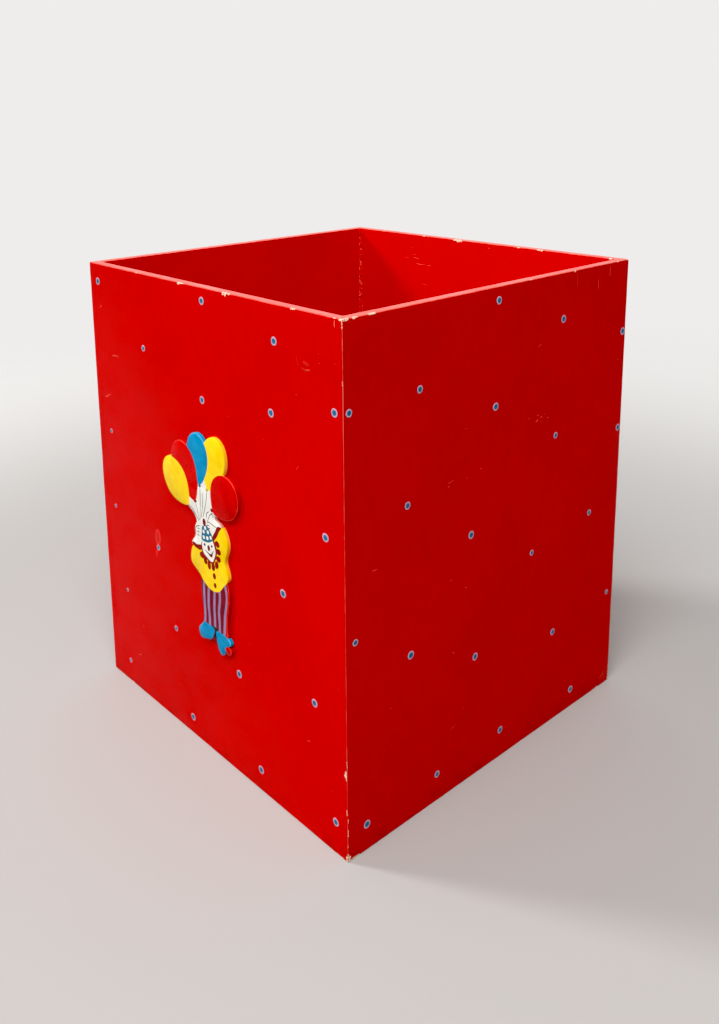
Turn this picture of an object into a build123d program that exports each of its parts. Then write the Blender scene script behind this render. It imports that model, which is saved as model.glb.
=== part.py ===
from build123d import *
import os

# An open-top square bin of thin painted board, with a flat clown-and-balloons cut-out glued on
# its front. Millimetres. +Z is up, -Y is the front, the origin is the centre of the underside.

# Driving dimensions of the bin
WIDTH = 250.0
DEPTH = 250.0
HEIGHT = 300.0
BOARD = 6.0
EDGE_ROUND = 0.6

# Panel pins, driven through one board into the edge of the next
PIN_SHANK = 1.2
PIN_HEAD = 2.0
PIN_HEAD_THICKNESS = 0.7
PIN_LENGTH = 18.0
PIN_TIP = 1.8
PIN_SET = 0.5
CORNER_PIN_COUNT = 5
CORNER_PIN_PITCH = 60.0
CORNER_PIN_START = 30.0
BOTTOM_PIN_COUNT = 3
BOTTOM_PIN_PITCH = 80.0

# Cut-out. Its outlines are given on the front, in millimetres from the bin's left edge and
# up from the underside.
PLAQUE_THICKNESS = 2.5
PLAQUE_ROUND = 0.4

# Each balloon: knot, crown, half width, and where the widest part lies between crown and knot
BALLOONS = {
    "left_yellow": ((112.3, 163.1), (86.9, 186.2), 12.5, 0.48),
    "left_red": ((119.7, 167.9), (100.9, 201.2), 12.9, 0.40),
    "blue": ((124.9, 179.6), (122.4, 211.5), 11.1, 0.42),
    "right_yellow": ((133.6, 178.9), (143.7, 212.6), 11.6, 0.41),
    "right_red": ((138.9, 165.4), (158.4, 189.6), 13.3, 0.46),
}

# Where the strings gather, down to the two raised hands
STRINGS = [
    (111.1, 168.6), (112.1, 162.6), (116.6, 159.9), (119.5, 157.0), (121.6, 150.6),
    (129.1, 145.6), (138.1, 148.6), (143.4, 155.2), (145.8, 158.3), (144.6, 159.8),
    (141.4, 160.9), (139.2, 162.4), (139.9, 164.6), (138.9, 167.4), (137.6, 177.6),
    (133.1, 183.6), (125.1, 183.6), (120.6, 172.6),
]
LEFT_HAND = [
    (121.6, 155.6), (118.8, 152.4), (117.7, 148.6), (118.1, 145.5), (115.1, 141.4),
    (114.1, 139.0), (117.6, 137.6), (125.6, 139.1), (129.1, 145.6), (127.1, 153.6),
]
TUNIC = [
    (118.1, 139.6), (114.3, 136.6), (112.3, 131.1), (112.7, 126.2), (117.1, 123.2),
    (121.1, 120.9), (125.6, 117.6), (134.1, 114.8), (141.1, 116.6), (146.7, 122.4),
    (150.9, 127.8), (150.3, 132.1), (148.3, 137.6), (150.4, 144.3), (151.4, 149.6),
    (149.5, 155.2), (145.6, 158.9), (142.6, 157.6), (137.6, 152.1), (129.1, 146.6),
]
TROUSERS = [
    (123.1, 119.6), (122.1, 111.6), (122.7, 103.6), (123.7, 95.6), (123.1, 86.6),
    (147.7, 86.6), (148.1, 96.6), (149.4, 104.6), (150.8, 111.6), (151.1, 120.6),
    (149.1, 126.6),
]
LEFT_SHOE = [
    (123.6, 90.0), (120.3, 86.6), (117.7, 83.6), (119.7, 78.2), (124.6, 78.9), (129.6, 80.4),
    (133.1, 84.2), (134.7, 89.2), (128.6, 90.4),
]
RIGHT_SHOE = [
    (137.1, 89.2), (136.8, 83.7), (138.5, 77.5), (141.7, 75.1), (144.7, 77.7), (146.7, 81.8),
    (151.1, 85.8), (146.6, 89.6), (141.6, 89.8),
]
SHOE_BALL_CENTRE = (148.4, 80.6)
SHOE_BALL_RADIUS = 2.9
HEEL_WEB_CENTRE = (135.1, 87.6)
HEEL_WEB_SIZE = (6.0, 7.0)


def board_shell():
    """The four walls as one rounded frame, before it is divided at the joints."""
    outer = Box(WIDTH, DEPTH, HEIGHT, align=(Align.CENTER, Align.CENTER, Align.MIN))
    inner = Box(
        WIDTH - 2 * BOARD,
        DEPTH - 2 * BOARD,
        HEIGHT,
        align=(Align.CENTER, Align.CENTER, Align.MIN),
    )
    shell = outer - inner
    corners = shell.edges().filter_by(Axis.Z).filter_by(lambda e: abs(e.center().X) > WIDTH / 2 - 1)
    rim = shell.edges().filter_by_position(Axis.Z, HEIGHT - 0.01, HEIGHT + 0.01)
    foot = shell.edges().filter_by_position(Axis.Z, -0.01, 0.01)
    foot = foot.filter_by(lambda e: max(abs(e.center().X), abs(e.center().Y)) > WIDTH / 2 - 1)
    return fillet(corners + rim + foot, EDGE_ROUND)


def wall_region(name):
    """The part of the frame that belongs to one wall: side walls run the full depth."""
    between = WIDTH - 2 * BOARD
    if name in ("left_panel", "right_panel"):
        side = -1 if name == "left_panel" else 1
        block = Box(BOARD, DEPTH, HEIGHT, align=(Align.CENTER, Align.CENTER, Align.MIN))
        return Pos(side * (WIDTH - BOARD) / 2, 0, 0) * block
    side = -1 if name == "front_panel" else 1
    block = Box(between, BOARD, HEIGHT, align=(Align.CENTER, Align.CENTER, Align.MIN))
    return Pos(0, side * (DEPTH - BOARD) / 2, 0) * block


def bottom_board():
    """The bottom, set between the walls and flush with their lower edges."""
    size = (WIDTH - 2 * BOARD, DEPTH - 2 * BOARD, BOARD)
    return Box(*size, align=(Align.CENTER, Align.CENTER, Align.MIN))


def pin_at(x, y, z, dx, dy):
    """One panel pin, its head set below the outer face at (x, y, z), driven along (dx, dy)."""
    profile = Polyline(
        (0, 0),
        (PIN_HEAD / 2, 0),
        (PIN_HEAD / 2, PIN_HEAD_THICKNESS),
        (PIN_SHANK / 2, PIN_HEAD_THICKNESS),
        (PIN_SHANK / 2, PIN_LENGTH - PIN_TIP),
        (0, PIN_LENGTH),
        close=True,
    )
    pin = revolve(make_face(Plane.XZ * profile), Axis.Z)
    head = Plane(origin=(x + dx * PIN_SET, y + dy * PIN_SET, z), z_dir=(dx, dy, 0))
    return head.location * pin


def corner_pins(side_x, side_y):
    """The pins of one corner, through the side wall into the edge of the front or back wall."""
    x = side_x * WIDTH / 2
    y = side_y * (DEPTH - BOARD) / 2
    heights = [CORNER_PIN_START + CORNER_PIN_PITCH * i for i in range(CORNER_PIN_COUNT)]
    return [pin_at(x, y, z, -side_x, 0) for z in heights]


def bottom_pins(side_x, side_y):
    """The pins of one wall into the edge of the bottom."""
    middle = (BOTTOM_PIN_COUNT - 1) / 2
    pins = []
    for i in range(BOTTOM_PIN_COUNT):
        along = (i - middle) * BOTTOM_PIN_PITCH
        if side_x:
            pins.append(pin_at(side_x * WIDTH / 2, along, BOARD / 2, -side_x, 0))
        else:
            pins.append(pin_at(along, side_y * DEPTH / 2, BOARD / 2, 0, -side_y))
    return pins


def balloon_face(knot, crown, half_width, widest):
    """An egg-shaped balloon, pointed at its knot."""
    knot = Vector(*knot)
    crown = Vector(*crown)
    axis = knot - crown
    length = axis.length
    down = axis.normalized()
    across = Vector(-down.Y, down.X)
    middle = crown + down * (widest * length)
    to_crown = down * (0.55 * widest * length)
    to_knot = down * (0.50 * (1 - widest) * length)
    edges = []
    for side in (1, -1):
        flank = middle + across * (side * half_width)
        top_handle = crown + across * (side * 0.55 * half_width)
        knot_handle = knot + across * (side * 0.22 * half_width)
        edges.append(Bezier(crown, top_handle, flank - to_crown, flank))
        edges.append(Bezier(flank, flank + to_knot, knot_handle, knot))
    return make_face(Wire(edges))


def outline_face(points):
    """A closed smooth outline through its points."""
    return make_face(Wire([Spline(*points, periodic=True)]))


def plaque_outline():
    """The whole cut-out as one flat face, drawn in the front's own coordinates."""
    faces = [balloon_face(*balloon) for balloon in BALLOONS.values()]
    for points in (STRINGS, LEFT_HAND, TUNIC, TROUSERS, LEFT_SHOE, RIGHT_SHOE):
        faces.append(outline_face(points))
    faces.append(Pos(*SHOE_BALL_CENTRE) * Circle(SHOE_BALL_RADIUS))
    faces.append(Pos(*HEEL_WEB_CENTRE) * Rectangle(*HEEL_WEB_SIZE))
    outline = Sketch() + faces[0]
    for face in faces[1:]:
        outline = outline + face
    return outline


def plaque():
    """The cut-out board, standing on the front wall's outer face."""
    front = Plane(origin=(-WIDTH / 2, -DEPTH / 2, 0), x_dir=(1, 0, 0), z_dir=(0, -1, 0))
    board = extrude(front * plaque_outline(), PLAQUE_THICKNESS)
    face = board.faces().sort_by(Axis.Y)[0]
    return fillet(face.outer_wire().edges(), PLAQUE_ROUND)


def main():
    os.makedirs("parts", exist_ok=True)
    shell = board_shell()
    parts = {"bottom_panel": bottom_board()}
    for name in ("left_panel", "right_panel", "front_panel", "back_panel"):
        parts[name] = shell & wall_region(name)
    pins = {
        "front_left_corner_pins": corner_pins(-1, -1),
        "front_right_corner_pins": corner_pins(1, -1),
        "back_left_corner_pins": corner_pins(-1, 1),
        "back_right_corner_pins": corner_pins(1, 1),
        "front_bottom_pins": bottom_pins(0, -1),
        "back_bottom_pins": bottom_pins(0, 1),
        "left_bottom_pins": bottom_pins(-1, 0),
        "right_bottom_pins": bottom_pins(1, 0),
    }
    every_pin = [pin for group in pins.values() for pin in group]
    parts = {name: board - every_pin for name, board in parts.items()}
    parts["clown_plaque"] = plaque()
    for name, group in pins.items():
        parts[name] = Compound(children=group)
    for name, shape in parts.items():
        export_step(shape, f"parts/{name}.step")


main()
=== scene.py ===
"""The red bin's looks: painted boards, dots, the clown-and-balloons cut-out and years of wear.

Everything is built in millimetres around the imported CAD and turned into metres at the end.
"""

import math
import random
from functools import partial

import bmesh
import bpy
import numpy as np
from mathutils import Matrix, Vector, noise
from mathutils.geometry import delaunay_2d_cdt


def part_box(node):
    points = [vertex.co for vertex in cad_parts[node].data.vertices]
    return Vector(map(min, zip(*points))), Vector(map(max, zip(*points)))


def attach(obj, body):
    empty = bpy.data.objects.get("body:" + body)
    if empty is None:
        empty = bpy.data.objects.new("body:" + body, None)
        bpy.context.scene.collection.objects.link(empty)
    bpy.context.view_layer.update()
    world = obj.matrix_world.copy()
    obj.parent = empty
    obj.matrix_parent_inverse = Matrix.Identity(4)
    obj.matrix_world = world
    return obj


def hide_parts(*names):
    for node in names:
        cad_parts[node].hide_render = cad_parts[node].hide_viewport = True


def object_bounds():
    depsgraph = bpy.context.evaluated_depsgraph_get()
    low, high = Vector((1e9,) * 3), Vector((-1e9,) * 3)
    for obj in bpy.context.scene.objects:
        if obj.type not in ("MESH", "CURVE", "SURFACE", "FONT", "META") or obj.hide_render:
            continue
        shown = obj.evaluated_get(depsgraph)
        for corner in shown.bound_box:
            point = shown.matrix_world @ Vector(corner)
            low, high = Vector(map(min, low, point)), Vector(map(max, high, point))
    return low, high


MM = 0.001
SKIN = 0.12  # how far the painted boards stay inside the CAD
EDGE_ROUND = 0.6
EDGE_SEGMENTS = 4
SEAM_BEVEL = 0.08
GRID = 8.0
WARP = 0.05
EDGE_WOBBLE = 0.1
RIM = 2  # the material slot of the rim's paint
BLACK = 0.012  # the picture's black level
RANGE_SOCKETS = ("From Min", "From Max", "To Min", "To Max")

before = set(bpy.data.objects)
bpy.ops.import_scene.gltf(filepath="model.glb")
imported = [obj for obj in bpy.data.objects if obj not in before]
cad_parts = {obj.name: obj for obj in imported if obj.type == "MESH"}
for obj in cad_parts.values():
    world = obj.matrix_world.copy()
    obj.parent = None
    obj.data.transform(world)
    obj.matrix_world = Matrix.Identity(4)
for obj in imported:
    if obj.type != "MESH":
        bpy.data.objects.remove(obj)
cad_low, cad_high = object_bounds()
HALF = cad_high.x / MM
HEIGHT = cad_high.z / MM
BOARD = (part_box("front_panel")[1].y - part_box("front_panel")[0].y) / MM
INNER = HALF - BOARD
FACE = HALF - SKIN
PLAQUE_FRONT = -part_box("clown_plaque")[0].y / MM - HALF - SKIN


# Node helpers


class Paint:
    """A node material around one Principled shader, in the part's own coordinates."""

    def __init__(self, name, roughness=0.4, **settings):
        self.material = bpy.data.materials.new(name)
        self.material.use_nodes = True
        self.tree = self.material.node_tree
        self.tree.nodes.clear()
        output = self.add("ShaderNodeOutputMaterial")
        self.shader = self.add("ShaderNodeBsdfPrincipled")
        self.shader.inputs["Roughness"].default_value = roughness
        for socket, value in settings.items():
            self.shader.inputs[socket.replace("_", " ")].default_value = value
        self.join(self.shader.outputs["BSDF"], output.inputs["Surface"])
        self.position = self.add("ShaderNodeTexCoord").outputs["Object"]

    def add(self, kind, **settings):
        node = self.tree.nodes.new(kind)
        for name, value in settings.items():
            setattr(node, name, value)
        return node

    def join(self, source, target):
        self.tree.links.new(source, target)

    def feed(self, target, value):
        if isinstance(value, bpy.types.NodeSocket):
            self.join(value, target)
        else:
            target.default_value = value

    def math(self, operation, a, b=0.0, c=0.0):
        node = self.add("ShaderNodeMath", operation=operation)
        self.feed(node.inputs[0], a)
        self.feed(node.inputs[1], b)
        self.feed(node.inputs[2], c)
        return node.outputs[0]

    def scaled(self, factors):
        node = self.add("ShaderNodeVectorMath", operation="MULTIPLY")
        self.join(self.position, node.inputs[0])
        node.inputs[1].default_value = factors
        return node.outputs[0]

    def noise(self, size_mm, detail=2.0, stretch=(1, 1, 1), distortion=0.0):
        node = self.add("ShaderNodeTexNoise")
        node.inputs["Scale"].default_value = 1 / (size_mm * MM)
        node.inputs["Detail"].default_value = detail
        node.inputs["Distortion"].default_value = distortion
        self.join(self.scaled(stretch), node.inputs["Vector"])
        return node.outputs["Fac"]

    def ramp(self, value, low, high, out_low=0.0, out_high=1.0):
        node = self.add("ShaderNodeMapRange", interpolation_type="SMOOTHSTEP")
        self.feed(node.inputs["Value"], value)
        for name, number in zip(RANGE_SOCKETS, (low, high, out_low, out_high)):
            node.inputs[name].default_value = number
        return node.outputs[0]

    def mix(self, factor, a, b):
        node = self.add("ShaderNodeMix", data_type="RGBA")
        self.feed(node.inputs[0], factor)
        self.feed(node.inputs[6], a if isinstance(a, bpy.types.NodeSocket) else (*a, 1))
        self.feed(node.inputs[7], b if isinstance(b, bpy.types.NodeSocket) else (*b, 1))
        return node.outputs[2]

    def colour(self, value):
        self.join(value, self.shader.inputs["Base Color"])

    def roughness(self, value):
        self.join(value, self.shader.inputs["Roughness"])

    def bump(self, height, depth_mm, strength=1.0):
        node = self.add("ShaderNodeBump")
        node.inputs["Strength"].default_value = strength
        node.inputs["Distance"].default_value = depth_mm * MM
        self.join(height, node.inputs["Height"])
        self.join(node.outputs["Normal"], self.shader.inputs["Normal"])


def edge_distance(paint):
    """How far a point is from the nearest rounded edge, how deep in the boards, and its height."""
    parts = paint.add("ShaderNodeSeparateXYZ")
    paint.join(paint.position, parts.inputs[0])
    ax = paint.math("ABSOLUTE", parts.outputs[0])
    ay = paint.math("ABSOLUTE", parts.outputs[1])
    z = parts.outputs[2]
    in_x = paint.math("SUBTRACT", FACE * MM, ax)
    in_y = paint.math("SUBTRACT", FACE * MM, ay)
    upright = paint.math("MAXIMUM", in_x, in_y)
    skin = paint.math("MINIMUM", in_x, in_y)
    top = paint.math("SUBTRACT", HEIGHT * MM, z)
    rim = paint.math("MAXIMUM", top, skin)
    foot = paint.math("MAXIMUM", z, skin)
    cavity_x = paint.math("ABSOLUTE", paint.math("SUBTRACT", ax, INNER * MM))
    cavity_y = paint.math("ABSOLUTE", paint.math("SUBTRACT", ay, INNER * MM))
    inner_rim = paint.math("MAXIMUM", top, paint.math("MINIMUM", cavity_x, cavity_y))
    nearest = paint.math("MINIMUM", paint.math("MINIMUM", upright, rim), foot)
    return paint.math("MINIMUM", nearest, inner_rim), skin, z


def red_enamel(name, ior, smooth, deep, bright, inside_light=1.0):
    """Brushed red gloss paint, paler along its edges where paint is rubbed thin and a highlight is
    painted, and painted lighter inside the bin as painted light for the brighter light there.
    """
    paint = Paint(name, IOR=ior, Specular_Tint=(1.0, 0.12, 0.10, 1))
    broad = paint.noise(70, 2)
    mottle = paint.noise(7, 4, (1, 1, 0.6))
    patches = paint.ramp(broad, 0.3, 0.7)
    outer_red = paint.mix(patches, deep, bright)
    # The inner faces are painted lighter by inside_light: painted light, standing in for the
    # brighter light inside the bin.
    inside_lit_deep, inside_lit_bright = ([inside_light * share for share in shade] for shade in (deep, bright))
    lit_inside_red = paint.mix(patches, inside_lit_deep, inside_lit_bright)
    distance, depth, z = edge_distance(paint)
    inside = paint.ramp(depth, 0.5 * BOARD * MM, (0.5 * BOARD + 0.5) * MM)
    red = paint.mix(inside, outer_red, lit_inside_red)
    red = paint.mix(paint.ramp(mottle, 0.35, 0.75, 0.0, 0.12), red, (0.80, 0.003, 0.002))
    # Paler pink along the rounded edges, most near the top: paint rubbed thin, and a painted
    # highlight where the edges catch the light.
    by_edge = paint.ramp(distance, 0.0007, 0.0001)
    rubbed = paint.ramp(paint.noise(8, 4), 0.40, 0.62, 0.4, 1.0)
    stronger_near_top = paint.ramp(z, 0.22, 0.27, 0.6, 1.0)
    wear_and_highlight = paint.math("MULTIPLY", by_edge, paint.math("MULTIPLY", rubbed, stronger_near_top))
    red = paint.mix(paint.math("MULTIPLY", wear_and_highlight, 0.75), red, (0.95, 0.24, 0.18))
    # Darker towards the foot, in patches.
    low_down = paint.ramp(z, 0.012, 0.0)
    darker_at_foot = paint.math("MULTIPLY", low_down, paint.ramp(paint.noise(9, 4), 0.4, 0.7))
    red = paint.mix(paint.math("MULTIPLY", darker_at_foot, 0.35), red, (0.25, 0.004, 0.003))
    paint.colour(red)
    cloudy = paint.noise(30, 4, (1, 1, 1.6))
    rub = paint.noise(1.6, 3, (0.25, 0.25, 1.0))
    gloss = paint.ramp(cloudy, 0.3, 0.7, smooth, smooth + 0.12)
    gloss = paint.math("ADD", gloss, paint.ramp(rub, 0.55, 0.8, 0.0, 0.12))
    gloss = paint.math("ADD", gloss, paint.math("MULTIPLY", wear_and_highlight, 0.1))
    paint.roughness(gloss)
    peel = paint.noise(2.4, 2)
    brushed = paint.noise(0.9, 2, (0.05, 0.05, 1.0))
    relief = paint.math("ADD", peel, paint.math("MULTIPLY", brushed, 0.35))
    paint.bump(relief, 0.05, 0.4)
    return paint.material


def bare_board():
    """The pale core that shows where the paint is chipped off."""
    paint = Paint("bare_core", 0.75, Specular_IOR_Level=0.25)
    fibre = paint.noise(0.7, 4, (1, 1, 0.4))
    core = paint.mix(paint.ramp(fibre, 0.3, 0.7), (0.80, 0.51, 0.37), (0.92, 0.68, 0.52))
    stain = paint.ramp(paint.noise(3, 3), 0.62, 0.8, 0.0, 0.5)
    paint.colour(paint.mix(stain, core, (0.72, 0.22, 0.12)))
    paint.bump(fibre, 0.08, 0.6)
    return paint.material


def gloss_paint(name, main, other, roughness=0.34, cloud_mm=6, cloud_from=0.35):
    """A hand-painted colour, a little uneven, whose shine takes on part of the colour."""
    tint = [0.1 + 0.9 * share / max(main) for share in main]
    paint = Paint(name, IOR=1.18, Specular_Tint=(*tint, 1))
    cloud = paint.noise(cloud_mm, 3)
    paint.colour(paint.mix(paint.ramp(cloud, cloud_from, 0.7), main, other))
    paint.roughness(paint.ramp(paint.noise(2.2, 3), 0.3, 0.7, roughness - 0.07, roughness + 0.09))
    coarse = paint.noise(1.1, 2)
    relief = paint.math("ADD", coarse, paint.math("MULTIPLY", paint.noise(0.35, 2), 0.4))
    paint.bump(relief, 0.04, 0.5)
    return paint.material


def steel():
    """Bright drawn steel for the panel pins, dulled in patches."""
    paint = Paint("pin_steel", 0.35, Metallic=1.0)
    patch = paint.noise(1.2, 3)
    paint.colour(paint.mix(paint.ramp(patch, 0.4, 0.7), (0.62, 0.61, 0.59), (0.30, 0.26, 0.22)))
    paint.roughness(paint.ramp(patch, 0.35, 0.7, 0.28, 0.55))
    paint.bump(paint.noise(0.3, 2), 0.02, 0.5)
    return paint.material


# Mesh helpers


def on_face(side, along, up, out=0.0):
    """A point on an outer face, by its distance from that face's left edge and the foot."""
    across = along - HALF
    reach = FACE + out
    return {
        "front": Vector((across, -reach, up)),
        "right": Vector((reach, across, up)),
        "back": Vector((-across, reach, up)),
        "left": Vector((-reach, -across, up)),
    }[side]


def inside_back(along, up, out=0.0):
    """A point on the back wall's inner face, by its distance from the bin's left side."""
    return Vector((along - HALF, INNER * FACE / HALF - out, up))


def link(name, data):
    """A new object in the scene."""
    obj = bpy.data.objects.new(name, data)
    bpy.context.scene.collection.objects.link(obj)
    return obj


def piece(name, mesh, materials, replaced=None, sharp_deg=32):
    """Turns a millimetre mesh into a finished piece that rides on the part's one body."""
    mesh.transform(Matrix.Scale(MM, 4))
    if not mesh.materials:
        for material in materials:
            mesh.materials.append(material)
    mesh.shade_smooth()
    mesh.set_sharp_from_angle(angle=math.radians(sharp_deg))
    obj = link(name, mesh)
    if replaced:
        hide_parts(replaced)
    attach(obj, "root")
    return obj


def mesh_from(bm, name):
    bmesh.ops.recalc_face_normals(bm, faces=bm.faces)
    mesh = bpy.data.meshes.new(name)
    bm.to_mesh(mesh)
    bm.free()
    return mesh


def bridge(bm, rows, material=0):
    """Closes a tube between rows of points, each row a ring."""
    for row, following in zip(rows, rows[1:]):
        for i in range(len(row)):
            j = (i + 1) % len(row)
            bm.faces.new((row[i], row[j], following[j], following[i])).material_index = material


def close_ends(bm, rows, material=0):
    for end in (rows[0], list(reversed(rows[-1]))):
        bm.faces.new(end).material_index = material


def turned(centre, x, y, tilt):
    """A point near a centre, turned about it."""
    return (
        centre[0] + x * math.cos(tilt) - y * math.sin(tilt),
        centre[1] + x * math.sin(tilt) + y * math.cos(tilt),
    )


def side_step(path, i):
    """The unit vector to the left of a path at its point i."""
    along = (path[min(i + 1, len(path) - 1)] - path[max(i - 1, 0)]).normalized()
    return Vector((-along.y, along.x))


def smooth_loop(points, spacing=0.5):
    """Points along the closed cubic curve through the given ones."""
    knots = np.array(points, float)
    n = len(knots)
    steps = np.linalg.norm(np.roll(knots, -1, 0) - knots, axis=1)
    before = np.roll(steps, 1)
    slopes_in = (np.roll(knots, -1, 0) - knots) / steps[:, None]
    slopes_out = np.roll(slopes_in, 1, 0)
    system = np.zeros((n, n))
    for i in range(n):
        system[i, i] = 2 * (before[i] + steps[i])
        system[i, (i - 1) % n] += steps[i]
        system[i, (i + 1) % n] += before[i]
    right = 3 * (steps[:, None] * slopes_out + before[:, None] * slopes_in)
    tangents = np.linalg.solve(system, right)
    found = []
    for i in range(n):
        count = max(2, round(steps[i] / spacing))
        h = steps[i]
        a, b = knots[i], knots[(i + 1) % n]
        ta, tb = tangents[i] * h, tangents[(i + 1) % n] * h
        for k in range(count):
            t = k / count
            start = (2 * t**3 - 3 * t**2 + 1) * a + (t**3 - 2 * t**2 + t) * ta
            found.append(start + (-2 * t**3 + 3 * t**2) * b + (t**3 - t**2) * tb)
    return [(float(p[0]), float(p[1])) for p in found]


def ellipse(centre, size, tilt_deg=0.0, count=20):
    """Points of an ellipse of the given half sizes."""
    tilt = math.radians(tilt_deg)
    angles = [2 * math.pi * i / count for i in range(count)]
    return [turned(centre, size[0] * math.cos(a), size[1] * math.sin(a), tilt) for a in angles]


DAB_PROFILE = ((1, -1), (1, 0), (0.95, 0.55), (0.82, 0.9), (0.5, 1))


def dab(bm, place, loop, height, sink, material=0, profile=DAB_PROFILE, core=None):
    """A closed drop of paint: a loop drawn in towards its middle while it rises."""
    centre = (sum(p[0] for p in loop) / len(loop), sum(p[1] for p in loop) / len(loop))
    rows = []
    for share, rise in profile:
        level = rise * (height if rise > 0 else sink)
        spots = [[c + (v - c) * share for c, v in zip(centre, point)] for point in loop]
        rows.append([bm.verts.new(place(*spot, level)) for spot in spots])
    peak = bm.verts.new(place(*centre, height))
    core_from, core_material = core or (len(rows), material)
    bridge(bm, rows[: core_from + 1], material)
    bridge(bm, rows[core_from:], core_material)
    for i in range(len(loop)):
        face = bm.faces.new((rows[-1][i], rows[-1][(i + 1) % len(loop)], peak))
        face.material_index = core_material
    bm.faces.new(list(reversed(rows[0]))).material_index = material


def stroke(bm, place, points, half_width, height, sink, material=0, taper=0.35):
    """A closed, slightly domed line of paint along points, thinner towards its ends."""
    path = [Vector(p) for p in points]
    rows = []
    low, high = 0.1 * height, 0.8 * height
    rising = [(-1, -sink), (-0.95, low), (-0.5, high)]
    section = rising + [(0, height)] + [(-share, rise) for share, rise in reversed(rising)]
    for i, p in enumerate(path):
        side = side_step(path, i)
        t = i / (len(path) - 1)
        width = half_width * (taper + (1 - taper) * math.sin(math.pi * t) ** 0.5)
        spots = [(p + side * (share * width), rise) for share, rise in section]
        rows.append([bm.verts.new(place(q.x, q.y, rise)) for q, rise in spots])
    bridge(bm, rows, material)
    close_ends(bm, rows, material)


def curve_through(points, spacing=0.6):
    """Points along an open smooth curve through the given ones."""
    if len(points) == 2:
        a, b = Vector(points[0]), Vector(points[1])
        count = max(2, round((b - a).length / spacing))
        return [a.lerp(b, i / count) for i in range(count + 1)]
    path = [Vector(p) for p in points]
    ends = [path[0] * 2 - path[1], *path, path[-1] * 2 - path[-2]]
    found = []
    for i in range(1, len(ends) - 2):
        p0, p1, p2, p3 = ends[i - 1 : i + 3]
        count = max(2, round((p2 - p1).length / spacing))
        for k in range(count):
            t = k / count
            square = (2 * p0 - 5 * p1 + 4 * p2 - p3) * t**2
            cube = (3 * p1 - p0 - 3 * p2 + p3) * t**3
            found.append(0.5 * (2 * p1 + (p2 - p0) * t + square + cube))
    return [*found, path[-1]]


# Boards


def near(a, b):
    return abs(a - b) < 0.01


def all_at(edge, axis, value):
    return all(near(abs(v.co[axis]), value) for v in edge.verts)


def is_rounded(edge):
    """The edges that the maker rounded and painted over: corners, rim and foot."""
    outer = all_at(edge, 0, HALF) or all_at(edge, 1, HALF)
    if all_at(edge, 0, HALF) and all_at(edge, 1, HALF):
        return True
    if all_at(edge, 2, 0.0):
        return outer
    if all_at(edge, 2, HEIGHT):
        middle = (edge.verts[0].co + edge.verts[1].co) / 2
        inner_x = all_at(edge, 0, INNER) and abs(middle.y) < INNER
        inner_y = all_at(edge, 1, INNER) and abs(middle.x) < INNER
        return outer or inner_x or inner_y
    return False


def cut(bm, axis, value):
    normal = Vector((0, 0, 0))
    normal[axis] = 1
    spot = normal * value
    geometry = bm.verts[:] + bm.edges[:] + bm.faces[:]
    bmesh.ops.bisect_plane(bm, geom=geometry, plane_co=spot, plane_no=normal, dist=1e-4)


def bevel_seams(bm):
    """A hairline where two boards meet, on the faces that show."""
    edges = []
    for face in bm.faces:
        middle = face.calc_center_median()
        if near(abs(middle.x), INNER) and abs(face.normal.x) > 0.99 and abs(middle.y) > INNER:
            for edge in face.edges:
                centre = (edge.verts[0].co + edge.verts[1].co) / 2
                if abs(centre.y) > INNER + 0.05 and centre.z > 0.05:
                    edges.append(edge)
    if edges:
        bmesh.ops.bevel(
            bm, geom=list(dict.fromkeys(edges)), offset=SEAM_BEVEL, segments=1, affect="EDGES",
            clamp_overlap=True,
        )


def lived_in(co):
    """Where a point of the crisp board lies on the slightly warped, hand-sanded one."""
    moved = co.copy()
    swell = 0.5 + 0.5 * noise.noise(co / 70)
    uneven = max(0.0, noise.noise(co / 7) + 0.35) * EDGE_WOBBLE
    close = [HALF - abs(co.x) < EDGE_ROUND + 0.02, HALF - abs(co.y) < EDGE_ROUND + 0.02]
    for axis in (0, 1):
        if abs(co[axis]) > INNER - 0.5:
            moved[axis] -= math.copysign(WARP * swell, co[axis])
        if close[axis] and (close[1 - axis] or co.z > HEIGHT - EDGE_ROUND - 0.02):
            moved[axis] -= math.copysign(uneven, co[axis])
        moved[axis] *= FACE / HALF
    if co.z > HEIGHT - EDGE_ROUND - 0.02:
        moved.z -= uneven
    return moved


def board_mesh(name):
    """One wall or the bottom: a rounded, gridded, slightly uneven board."""
    low, high = (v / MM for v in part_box(name))
    bm = bmesh.new()
    bmesh.ops.create_cube(bm, size=1.0)
    for v in bm.verts:
        v.co = Vector((low[i] + (v.co[i] + 0.5) * (high[i] - low[i]) for i in range(3)))
    if high.y - low.y > 2 * INNER + 1:
        cut(bm, 1, -INNER)
        cut(bm, 1, INNER)
    rounded = [e for e in bm.edges if is_rounded(e)]
    if rounded:
        bmesh.ops.bevel(
            bm, geom=rounded, offset=EDGE_ROUND, segments=EDGE_SEGMENTS, profile=0.5,
            affect="EDGES", clamp_overlap=False,
        )
    bm.normal_update()
    bevel_seams(bm)
    hold = EDGE_ROUND + 0.5
    for axis in range(3):
        lines = [low[axis] + hold, high[axis] - hold]
        if high[axis] - low[axis] > 3 * BOARD:
            count = round((high[axis] - low[axis]) / GRID)
            lines += [low[axis] + (high[axis] - low[axis]) * i / count for i in range(1, count)]
        for line in lines:
            cut(bm, axis, line)
    # Faces on the rim take the rim's paler, pinker paint: a painted reflection, and rubbed paint.
    for face in bm.faces:
        face.material_index = RIM if face.calc_center_median().z > HEIGHT - EDGE_ROUND * 0.3 else 0
    for v in bm.verts:
        v.co = lived_in(v.co)
    return mesh_from(bm, name)


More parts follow.
